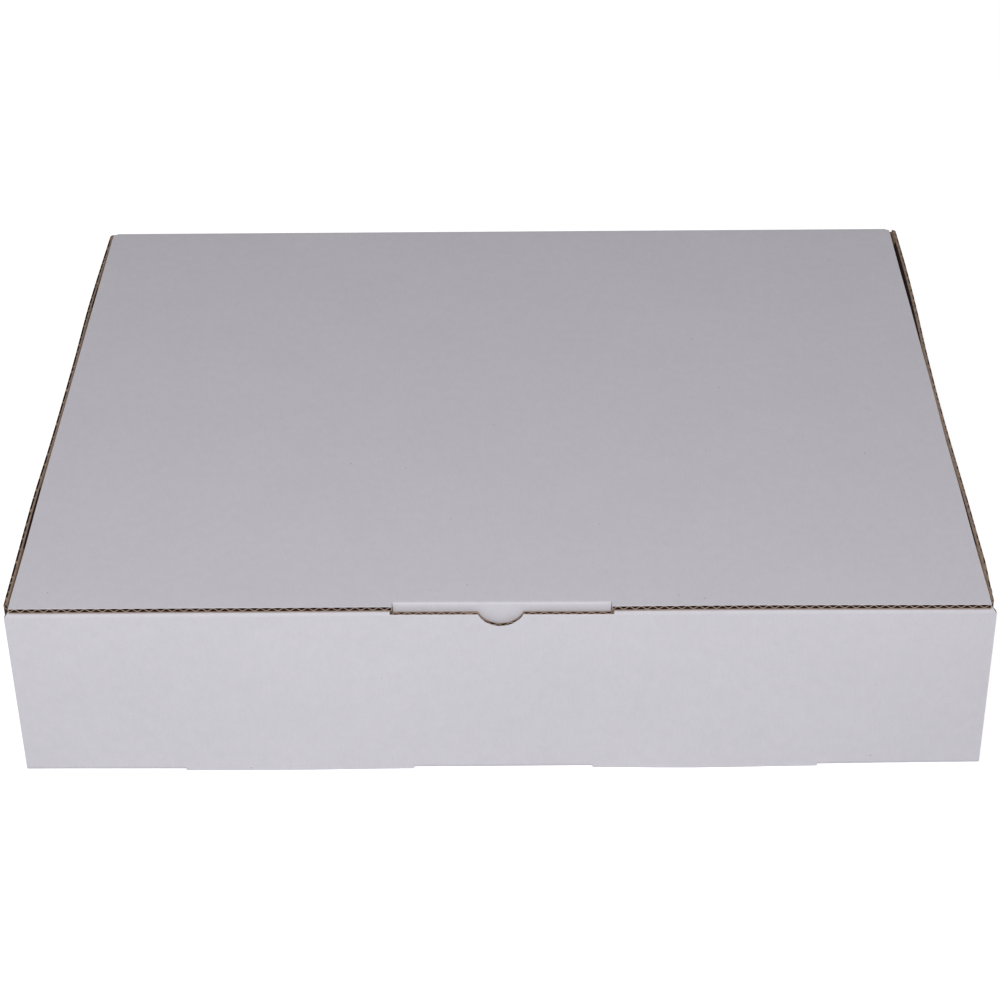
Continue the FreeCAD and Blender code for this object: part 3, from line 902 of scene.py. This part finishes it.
def skinBoard(piece, whiteSeed, kraftFaces):
    # all faces start as cut edges, and the white skin spreads from its seeds over rounded creases
    def endOn(c, n):
        return fluteDirection(piece, c).dot(n) ** 2 >= 0.5

    for name in slotNames:
        piece.data.materials.append(materials[name])
    paint(piece, "cutAlong", lambda c, n: not endOn(c, n))
    paint(piece, "cutAcross", endOn)
    paint(piece, "kraftSkin", kraftFaces)
    chooseFaces(piece, whiteSeed)
    bpy.ops.mesh.faces_select_linked_flat(sharpness=math.radians(skinSpread))
    paintChosen(piece, "whiteSkin")


def mapEdges(piece, atMouth):
    # On the cut edges U runs along the edge, and V goes from 0 at the white skin to 1 at the kraft.
    # In an open flute V goes from 0 at its mouth to 1 at its end, and the painted shade darkens along it.
    mesh = piece.data
    white = slotNames.index("whiteSkin")
    flute = slotNames.index("deepShade")
    outside = {v for face in mesh.polygons if face.material_index == white for v in face.vertices}
    layer = mesh.uv_layers.active
    layer.name = "cutEdge"
    for face in mesh.polygons:
        spans = [max(mesh.vertices[v].co[axis] for v in face.vertices)
                 - min(mesh.vertices[v].co[axis] for v in face.vertices) for axis in range(3)]
        along = spans.index(max(spans))
        for loop, vertex in zip(face.loop_indices, face.vertices):
            place = mesh.vertices[vertex].co
            zero = atMouth(place) if face.material_index == flute else vertex in outside
            layer.data[loop].uv = (place[along], 0 if zero else 1)


def mapFluting(piece, atMouth):
    layer = piece.data.uv_layers.active or piece.data.uv_layers.new()
    layer.name = "cutEdge"
    for loop in piece.data.loops:
        place = piece.data.vertices[loop.vertex_index].co
        layer.data[loop.index].uv = (place.x, 0 if atMouth(place) else 1)


def inMouthFlutes(c):
    return (front + near < c.y < frontInside - near and abs(c.x) < mouth["halfWidth"]
            and c.z > mouthFloor - near)


def onMouthEdge(c, n):
    return inMouthFlutes(c) and abs(n.y) < 1 - facing and c.z > mouthFloor + near


def inMouthPocket(c, n):
    # the walls and the floor of the hollow between the two liners
    liner = board["liner"]
    return inMouthFlutes(c) and (same(c.z, mouthFloor) or (same(c.y, front + liner) and n.y > 0)
                                 or (same(c.y, frontInside - liner) and n.y < 0)
                                 or (same(abs(c.x), mouth["halfWidth"] - liner) and c.x * n.x < 0))


def inLidFlutes(c, n):
    # all faces of the two hollows, whatever their normals
    return (front + near < c.y < front + lid["flutesOpen"] + near and lidUnder + near < c.z < top - near
            and slitEnd + near < abs(c.x) < lid["cornerReach"] - near)


grooves = {
    "lip": 0.1 * mm,
    "wide": {-1: 1.0 * mm, 1: 0.65 * mm},
    "deep": 1.5 * mm,
    "open": {-1: (3.5 * mm, 13.0 * mm), 1: (1.5 * mm, 7.0 * mm)},
    "shut": {-1: (0.8 * mm, 3.0 * mm), 1: (2.0 * mm, 7.0 * mm)},
    "seed": 4,
}


def openGrooves(piece):
    # the knife ran down the side walls along a flute, which lies open in torn lengths
    chance = random.Random(grooves["seed"])
    outer = half - grooves["lip"]
    for side in (-1, 1):
        inner = outer - grooves["wide"][side]
        for x in (outer, inner):
            scoreFaces(piece, lambda c, n: n.z > facing and same(c.z, top) and c.x * side > wallEnd
                       and abs(c.y) < sideRun / 2, "x", side * x)
        lengths = []
        y = -sideRun + thick
        while y < sideRun - thick * 2:
            end = min(y + chance.uniform(*grooves["open"][side]), sideRun - thick)
            lengths.append((y, end))
            y = end + chance.uniform(*grooves["shut"][side])

        def onStrip(c, n):
            return n.z > facing and same(c.z, top) and inner < c.x * side < outer

        for length in lengths:
            for y in length:
                scoreFaces(piece, onStrip, "y", y)
        pull(piece, lambda c, n: onStrip(c, n) and any(start < c.y < end for start, end in lengths),
             (0, 0, -grooves["deep"]))
        # painted shade: the grooves' walls and floors are painted dark, for the shade that falls in them
        paint(piece, "deepShade", lambda c, n: top - grooves["deep"] - near < c.z < top - near
              and inner - near < c.x * side < outer + near and abs(c.y) < sideRun - thick + near)


skinBoard(trayBoard, lambda c, n: n.z < -facing and same(c.z, 0) and abs(c.y) < -slotBack - near,
          lambda c, n: (n.z > facing and same(c.z, thick) and abs(c.x) < wallEnd)
          or (abs(n.x) > facing and same(abs(c.x), wallEnd) and c.x * n.x < 0)
          or (n.y > facing and same(c.y, frontInside) and c.z < rollTop - thick)
          or (n.y < -facing and same(c.y, innerWall))
          or (n.z < -facing and same(c.z, rollTop - thick) and c.y < innerWall)
          or (abs(n.y) > facing and same(abs(c.y), sideRun) and abs(c.x) < wallEnd)
          or (n.y < -facing and same(c.y, back - thick)))
paint(trayBoard, "linerEdge", onMouthEdge)
paint(trayBoard, "whiteSkin", lambda c, n: onMouthEdge(c, n) and c.y < front + board["liner"])
# painted shade: the pocket between the mouth's liners is painted dark, for the shade that falls in it
paint(trayBoard, "deepShade", inMouthPocket)
openGrooves(trayBoard)
skinBoard(lidBoard, lambda c, n: (n.z > facing and same(c.z, top))
          or (abs(n.x) > facing and same(abs(c.x), lidSide) and c.x * n.x > 0 and c.z < top - thick),
          lambda c, n: (n.z < -facing and same(c.z, lidUnder))
          or (abs(n.x) > facing and same(abs(c.x), lidSide - thick) and c.x * n.x < 0)
          or (n.y > facing and abs(c.x) < lid["tongueHalf"] and c.z < lidUnder))
paint(lidBoard, "linerEdge", lambda c, n: n.y < -facing and same(c.y, front))
paint(lidBoard, "whiteSkin", lambda c, n: n.y < -facing and same(c.y, front) and c.z > top - board["liner"])
# painted shade: the recess behind the lid's cut front edge is painted dark further in, for the shade deep in
# the flutes
paint(lidBoard, "deepShade", inLidFlutes)
paint(lidBoard, "whiteSkin", lambda c, n: c.y < frontInside + thick and c.z > lidUnder and n.z < 1 - facing
      and lid["tongueHalf"] - near < abs(c.x) < slitEnd + near)

mapEdges(trayBoard, lambda v: v.z > mouthFloor + near if abs(v.x) < mouth["halfWidth"] else v.z > top - near)
mapEdges(lidBoard, lambda v: v.y < front + near)
for piece in lidFlutes:
    mapFluting(piece, lambda v: v.y < front + setBack + near)
mapFluting(mouthFlutes, lambda v: v.z > mouthFloor + setBack + near)
# painted shade: the fluting shows its paper colour at the cut and is painted dark further in
for piece in flutes:
    piece.data.materials.append(materials["deepShade"])
hingeLiner.data.materials.append(materials["whiteSkin"])
print("skins and cut edges painted:", len(trayBoard.data.polygons), len(lidBoard.data.polygons), "faces")


# grid, so that the boards can bend

gridStep = 21.0 * mm


def gridLines(low, high):
    count = int((high - low) / gridStep)
    return [low + (high - low) * (step + 0.5) / count for step in range(count)]


for piece in (trayBoard, lidBoard):
    slicePiece(piece, "x", gridLines(-half, half))
    slicePiece(piece, "y", gridLines(front, back))
    slicePiece(piece, "z", gridLines(0, top))
slicePiece(hingeLiner, "x", gridLines(-half, half))
print("gridded:", len(trayBoard.data.polygons), len(lidBoard.data.polygons), "faces")


# cages: each bends a board as folding and stacking did
# in mm: the sides at rows from front to back, the front at columns from left to right

trayBend = {
    "left": (-0.2, 0.0, 0.0, -1.1, -1.6, -1.8, -1.5, -2.3, -3.4),
    "right": (-0.6, -1.4, -1.7, -2.3, -2.4, -1.75, -0.5, 0.0, -0.4),
}
lidBend = {
    "left": (0.6, 0.25, 0.3, 0.0, -0.45, -0.75, -1.05, -1.5, -1.9),
    "right": (-0.2, -0.8, -0.85, -1.25, -0.95, -0.95, -0.85, -1.1, -1.0),
}
frontBend = {
    "sag": (0.4, 0.4, 0.4, 0.4, 0.4, 0.2, 0.0, 0.2, 0.1, -0.2, -0.4),
    "foot": (-0.3, 0.0, 0.4, 0.4, -0.3, -0.3, -0.4, 0.4, -0.5, -1.3, -1.7),
    "slide": (0.0, 0.0, 0.0, 0.7, 1.4, 0.1, 0.4, 0.2, 0.0, 0.0, 0.0),
    "heel": (1.3, -0.1),  # the foot's left and right end
}
crush = {
    "edge": 0.9 * mm,  # the knife squeezed the side walls' top edges thinner
    "cornerIn": 1.6 * mm,  # the right wall's front corner was pressed in
    "corner": 1.0 * mm,  # and the board squeezed there
    "cornerWide": 40.0 * mm,
    "cornerSteps": 10,
    "gapShadeDepth": 4.0 * mm,  # painted shade: along these lengths the inner faces' top edges are painted dark, for the shade of the gap under the lid
    "shadedRuns": {
        -1: ((-157.0 * mm, -96.0 * mm), (113.0 * mm, 139.0 * mm)),
        1: ((-160.0 * mm, -106.0 * mm), (63.0 * mm, 195.0 * mm)),
    },
}


def bendPieces(pieces, sides):
    columns, rows = len(frontBend["sag"]), len(sides["left"])
    deselectAll()
    bpy.ops.object.add(type="LATTICE", location=(0, 0, top / 2))
    cage = bpy.context.object
    cage.scale = (half * 2, back * 2, top)
    cage.data.points_u, cage.data.points_v, cage.data.points_w = columns, rows, 2
    cage.data.interpolation_type_u = cage.data.interpolation_type_v = "KEY_CATMULL_ROM"
    cage.data.interpolation_type_w = "KEY_LINEAR"
    for index, point in enumerate(cage.data.points):
        column, row, upper = index % columns, index // columns % rows, index >= columns * rows
        move = Vector((0, 0, 0))
        if upper and column == 0:
            move.x = -sides["left"][row]
        if upper and column == columns - 1:
            move.x = sides["right"][row]
        if row == 0:
            move.x += frontBend["slide"][column]
        if row == 0 and upper:
            move.z = frontBend["sag"][column]
        if row == 0 and not upper:
            move.y = -frontBend["foot"][column]
            move.x += frontBend["heel"][0] if column == 0 else 0
            move.x += frontBend["heel"][1] if column == columns - 1 else 0
        point.co_deform += Vector(a * mm / b for a, b in zip(move, cage.scale))
    for piece in pieces:
        useModifier(piece, "LATTICE", object=cage)
    dropPiece(cage)


# painted shade: dark paint on the side walls' inner top edges, where the gap under the lid falls into shade
def paintGapShade(piece, side):
    lengths, depth = crush["shadedRuns"][side], top - crush["gapShadeDepth"]

    def inLengths(c, n, beyond=0):
        return (n.x * side < -facing and same(c.x * side, wallEnd) and c.z > top - gridStep / 2
                and any(start - beyond < c.y < end + beyond for start, end in lengths))

    for length in lengths:
        for y in length:
            scoreFaces(piece, lambda c, n: inLengths(c, n, gridStep), "y", y)
    scoreFaces(piece, inLengths, "z", depth)
    # painted shade of the gap under the lid
    paint(piece, "deepShade", lambda c, n: inLengths(c, n) and c.z > depth)


for side in (-1, 1):
    paintGapShade(trayBoard, side)
    shiftEdges(trayBoard, lambda m, d: same(m.z, top) and same(m.x * side, wallEnd) and same(d.x, 0),
               (side * crush["edge"], 0, 0))
frontEnd = -sideRun - thick
cornerStep = crush["cornerWide"] / crush["cornerSteps"]
slicePiece(trayBoard, "y", [frontEnd + cornerStep * (step + 1) for step in range(crush["cornerSteps"])])
shiftEdges(trayBoard, lambda m, d: same(m.z, top) and same(m.y, frontEnd) and m.x > wallEnd,
           (-crush["cornerIn"], 0, 0), use_proportional_edit=True, use_proportional_connected=True,
           proportional_edit_falloff="SMOOTH", proportional_size=crush["cornerWide"])
shiftEdges(trayBoard, lambda m, d: same(m.z, top) and m.y < frontEnd + gridStep and abs(d.x) < abs(d.y) / 4
           and wallEnd - crush["cornerIn"] < m.x < wallEnd + crush["edge"], (crush["corner"], 0, 0))
bendPieces([trayBoard, mouthFlutes], trayBend)
bendPieces([lidBoard, hingeLiner] + lidFlutes, lidBend)
for piece in [trayBoard, lidBoard, hingeLiner] + flutes:
    settle(piece)
    degrees = waves["smoothAngle"] if piece in flutes else board["smoothAngle"]
    bpy.ops.object.shade_smooth_by_angle(angle=math.radians(degrees))

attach(trayBoard, "base")
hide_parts("tray")
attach(mouthFlutes, "base")
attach(lidBoard, "lid")
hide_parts("lid")
for piece in lidFlutes:
    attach(piece, "lid")
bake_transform(hingeLiner)
print("pieces ride on their bodies")


# studio: a pale floor, a wide lamp over the front and an even sky

studio = {
    "floorSize": 40.0,
    "floorColour": (0.82, 0.82, 0.82, 1),
    "floorLift": 0.64,
    "skyStrength": 0.32,
    "lampPlace": (-0.12, -1.3, 1.2),
    "lampSize": 0.8,
    "lampPower": 17.3,
    "cameraPlace": (0.0067, -1.3103, 0.9072),
    "cameraTilt": 56.383,
    "cameraTurn": 0.328,
    "cameraRoll": -0.541,
    "cameraLens": 91.67,
    "cameraFilm": 36.0,
    "cameraReach": 100.0,
}


def seenByEye(tree):
    # 1 where a thing is seen, also mirrored or through glass, and 0 where it only gives light
    rays = addNode(tree, "LightPath").outputs
    return calc(tree, "MAXIMUM", rays["Is Camera Ray"],
                calc(tree, "MAXIMUM", rays["Is Glossy Ray"], rays["Is Transmission Ray"]))


def addFloor():
    deselectAll()
    bpy.ops.mesh.primitive_plane_add(size=studio["floorSize"], location=(0, 0, 0))
    floor = bpy.context.object
    floor.name = "floor"
    material, tree, shader = newMaterial("floorPaper")
    lift = calc(tree, "MULTIPLY", seenByEye(tree), studio["floorLift"])
    setNode(tree, shader, Base_Color=studio["floorColour"], Roughness=1.0, Specular_IOR_Level=0.0,
            Emission_Color=(1, 1, 1, 1), Emission_Strength=lift)
    floor.data.materials.append(material)


def addSky():
    world = bpy.data.worlds.new("studio")
    bpy.context.scene.world = world
    world.use_nodes = True
    tree = world.node_tree
    strength = ramp(tree, seenByEye(tree), 0.0, 1.0, studio["skyStrength"], 1.0)
    setNode(tree, tree.nodes["Background"], Color=(1, 1, 1, 1), Strength=strength)


def addLamp():
    deselectAll()
    place = Vector(studio["lampPlace"])
    aim = Vector((0, 0, top / 2)) - place
    bpy.ops.object.light_add(type="AREA", location=place, rotation=aim.to_track_quat("-Z", "Y").to_euler())
    lamp = bpy.context.object.data
    lamp.shape = "DISK"
    lamp.size = studio["lampSize"]
    lamp.energy = studio["lampPower"]


def addCamera():
    deselectAll()
    bpy.ops.object.camera_add()
    camera = bpy.context.object
    camera.matrix_world = (Matrix.Translation(studio["cameraPlace"])
                           @ Matrix.Rotation(math.radians(studio["cameraTurn"]), 4, "Z")
                           @ Matrix.Rotation(math.radians(studio["cameraTilt"]), 4, "X")
                           @ Matrix.Rotation(math.radians(studio["cameraRoll"]), 4, "Z"))
    camera.data.lens = studio["cameraLens"]
    camera.data.sensor_width = studio["cameraFilm"]
    camera.data.clip_end = studio["cameraReach"]
    bpy.context.scene.camera = camera


addFloor()
addSky()
addLamp()
addCamera()
bpy.context.scene.view_settings.view_transform = "Standard"

print("studio ready")
